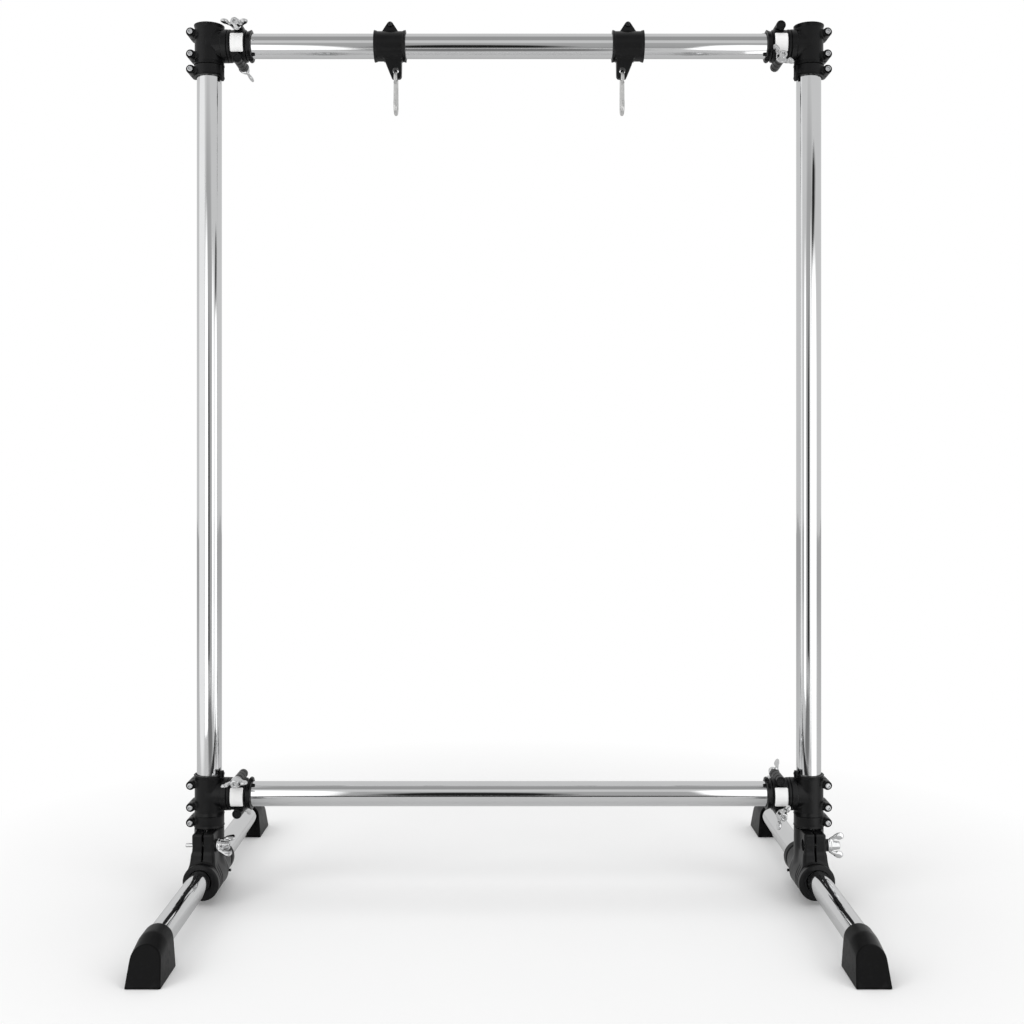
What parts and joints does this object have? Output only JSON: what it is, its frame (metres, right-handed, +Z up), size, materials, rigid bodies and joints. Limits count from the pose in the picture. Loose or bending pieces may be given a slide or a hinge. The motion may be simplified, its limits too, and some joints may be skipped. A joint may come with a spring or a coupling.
{
  "type": "gong stand",
  "caption": "Tubular chrome rack frame that hangs a gong from sliding hangers with spring hooks, on crosswise tube legs with rubber feet",
  "frame": {"origin": "On the floor, midway between the two uprights and between the front and back feet.", "axes": "+X to the right seen from the front, -Y toward the front, +Z up."},
  "size_m": [1.0007, 0.709, 1.3414],
  "materials": {
    "rack_chrome": "bright polished chrome plate on steel tube",
    "wing_chrome": "chrome-plated casting, slightly softened edges",
    "hook_chrome": "bright zinc-plated steel wire",
    "bolt_steel": "plated steel fasteners",
    "clamp_nylon": "black moulded nylon, satin",
    "foot_rubber": "matte black rubber"
  },
  "bodies": {
    "frame": {"upright_left": "rack_chrome", "upright_right": "rack_chrome", "crossbar_bottom": "rack_chrome", "tee_clamp_bottom_left": "clamp_nylon", "tee_cover_bottom_left": "clamp_nylon", "upright_lock_bottom_left": "clamp_nylon", "bar_lock_bottom_left": "clamp_nylon", "sleeve_bolt_bottom_left_upper": "bolt_steel", "sleeve_bolt_bottom_left_lower": "bolt_steel", "lock_bolt_bottom_left": "bolt_steel", "tee_clamp_bottom_right": "clamp_nylon", "tee_cover_bottom_right": "clamp_nylon", "upright_lock_bottom_right": "clamp_nylon", "bar_lock_bottom_right": "clamp_nylon", "sleeve_bolt_bottom_right_upper": "bolt_steel", "sleeve_bolt_bottom_right_lower": "bolt_steel", "lock_bolt_bottom_right": "bolt_steel"},
    "top_crossbar": {"crossbar_top": "rack_chrome", "tee_clamp_top_left": "clamp_nylon", "tee_cover_top_left": "clamp_nylon", "upright_lock_top_left": "clamp_nylon", "bar_lock_top_left": "clamp_nylon", "sleeve_bolt_top_left_upper": "bolt_steel", "sleeve_bolt_top_left_lower": "bolt_steel", "lock_bolt_top_left": "bolt_steel", "tee_clamp_top_right": "clamp_nylon", "tee_cover_top_right": "clamp_nylon", "upright_lock_top_right": "clamp_nylon", "bar_lock_top_right": "clamp_nylon", "sleeve_bolt_top_right_upper": "bolt_steel", "sleeve_bolt_top_right_lower": "bolt_steel", "lock_bolt_top_right": "bolt_steel"},
    "hanger_left": {"hanger_front_left": "clamp_nylon", "hanger_back_left": "clamp_nylon", "hanger_screw_left": "bolt_steel"},
    "hook_left": {"hook_left": "hook_chrome"},
    "hook_gate_left": {"hook_gate_left": "hook_chrome"},
    "leg_left": {"leg_bracket_left": "clamp_nylon", "leg_tube_left": "rack_chrome", "foot_left_front": "foot_rubber", "foot_left_back": "foot_rubber"},
    "leg_wing_left": {"leg_wing_bolt_left": "wing_chrome"},
    "hanger_right": {"hanger_front_right": "clamp_nylon", "hanger_back_right": "clamp_nylon", "hanger_screw_right": "bolt_steel"},
    "hook_right": {"hook_right": "hook_chrome"},
    "hook_gate_right": {"hook_gate_right": "hook_chrome"},
    "leg_right": {"leg_bracket_right": "clamp_nylon", "leg_tube_right": "rack_chrome", "foot_right_front": "foot_rubber", "foot_right_back": "foot_rubber"},
    "leg_wing_right": {"leg_wing_bolt_right": "wing_chrome"},
    "arm_wing_top_left_front": {"arm_wing_bolt_top_left_front": "wing_chrome"},
    "arm_wing_top_left_back": {"arm_wing_bolt_top_left_back": "wing_chrome"},
    "arm_wing_top_right_front": {"arm_wing_bolt_top_right_front": "wing_chrome"},
    "arm_wing_top_right_back": {"arm_wing_bolt_top_right_back": "wing_chrome"},
    "arm_wing_bottom_left_front": {"arm_wing_bolt_bottom_left_front": "wing_chrome"},
    "arm_wing_bottom_left_back": {"arm_wing_bolt_bottom_left_back": "wing_chrome"},
    "arm_wing_bottom_right_front": {"arm_wing_bolt_bottom_right_front": "wing_chrome"},
    "arm_wing_bottom_right_back": {"arm_wing_bolt_bottom_right_back": "wing_chrome"}
  },
  "joints": [
    {"name": "top_bar_height", "type": "slide", "parent": "frame", "child": "top_crossbar", "axis": [0, 0, 1], "range_m": [-0.6, 0]},
    {"name": "hanger_slide_left", "type": "slide", "parent": "top_crossbar", "child": "hanger_left", "axis": [1, 0, 0], "range_m": [-0.183, 0.15]},
    {"name": "hook_swing_left", "type": "hinge", "parent": "hanger_left", "child": "hook_left", "pos_m": [-0.1743, 0, 1.2551], "axis": [1, 0, 0], "range_deg": [-48, 48]},
    {"name": "gate_spring_left", "type": "hinge", "parent": "hook_left", "child": "hook_gate_left", "pos_m": [-0.1743, -0.01, 1.2461], "axis": [1, 0, 0], "range_deg": [0, 30], "stiffness_Nm_per_rad": 0.1, "springref_deg": -22.92},
    {"name": "leg_swivel_left", "type": "hinge", "parent": "frame", "child": "leg_left", "pos_m": [-0.462, 0, 0], "axis": [0, 0, 1], "range_deg": [-90, 90]},
    {"name": "leg_wing_turn_left", "type": "hinge", "parent": "leg_left", "child": "leg_wing_left", "pos_m": [-0.462, -0.033, 0.083], "axis": [1, 0, 0], "continuous": true},
    {"name": "hanger_slide_right", "type": "slide", "parent": "top_crossbar", "child": "hanger_right", "axis": [1, 0, 0], "range_m": [-0.15, 0.183]},
    {"name": "hook_swing_right", "type": "hinge", "parent": "hanger_right", "child": "hook_right", "pos_m": [0.1743, 0, 1.2551], "axis": [1, 0, 0], "range_deg": [-48, 48]},
    {"name": "gate_spring_right", "type": "hinge", "parent": "hook_right", "child": "hook_gate_right", "pos_m": [0.1743, -0.01, 1.2461], "axis": [1, 0, 0], "range_deg": [0, 30], "stiffness_Nm_per_rad": 0.1, "springref_deg": -22.92},
    {"name": "leg_swivel_right", "type": "hinge", "parent": "frame", "child": "leg_right", "pos_m": [0.462, 0, 0], "axis": [0, 0, 1], "range_deg": [-90, 90]},
    {"name": "leg_wing_turn_right", "type": "hinge", "parent": "leg_right", "child": "leg_wing_right", "pos_m": [0.462, -0.033, 0.083], "axis": [1, 0, 0], "continuous": true},
    {"name": "arm_wing_turn_top_left_front", "type": "hinge", "parent": "top_crossbar", "child": "arm_wing_top_left_front", "pos_m": [-0.4145, 0, 1.3294], "axis": [0, 1, 0], "continuous": true},
    {"name": "arm_wing_turn_top_left_back", "type": "hinge", "parent": "top_crossbar", "child": "arm_wing_top_left_back", "pos_m": [-0.4145, 0, 1.2794], "axis": [0, 1, 0], "continuous": true},
    {"name": "arm_wing_turn_top_right_front", "type": "hinge", "parent": "top_crossbar", "child": "arm_wing_top_right_front", "pos_m": [0.4145, 0, 1.2794], "axis": [0, 1, 0], "continuous": true},
    {"name": "arm_wing_turn_top_right_back", "type": "hinge", "parent": "top_crossbar", "child": "arm_wing_top_right_back", "pos_m": [0.4145, 0, 1.3294], "axis": [0, 1, 0], "continuous": true},
    {"name": "arm_wing_turn_bottom_left_front", "type": "hinge", "parent": "frame", "child": "arm_wing_bottom_left_front", "pos_m": [-0.4145, 0, 0.1774], "axis": [0, 1, 0], "continuous": true},
    {"name": "arm_wing_turn_bottom_left_back", "type": "hinge", "parent": "frame", "child": "arm_wing_bottom_left_back", "pos_m": [-0.4145, 0, 0.1274], "axis": [0, 1, 0], "continuous": true},
    {"name": "arm_wing_turn_bottom_right_front", "type": "hinge", "parent": "frame", "child": "arm_wing_bottom_right_front", "pos_m": [0.4145, 0, 0.1274], "axis": [0, 1, 0], "continuous": true},
    {"name": "arm_wing_turn_bottom_right_back", "type": "hinge", "parent": "frame", "child": "arm_wing_bottom_right_back", "pos_m": [0.4145, 0, 0.1774], "axis": [0, 1, 0], "continuous": true}
  ]
}
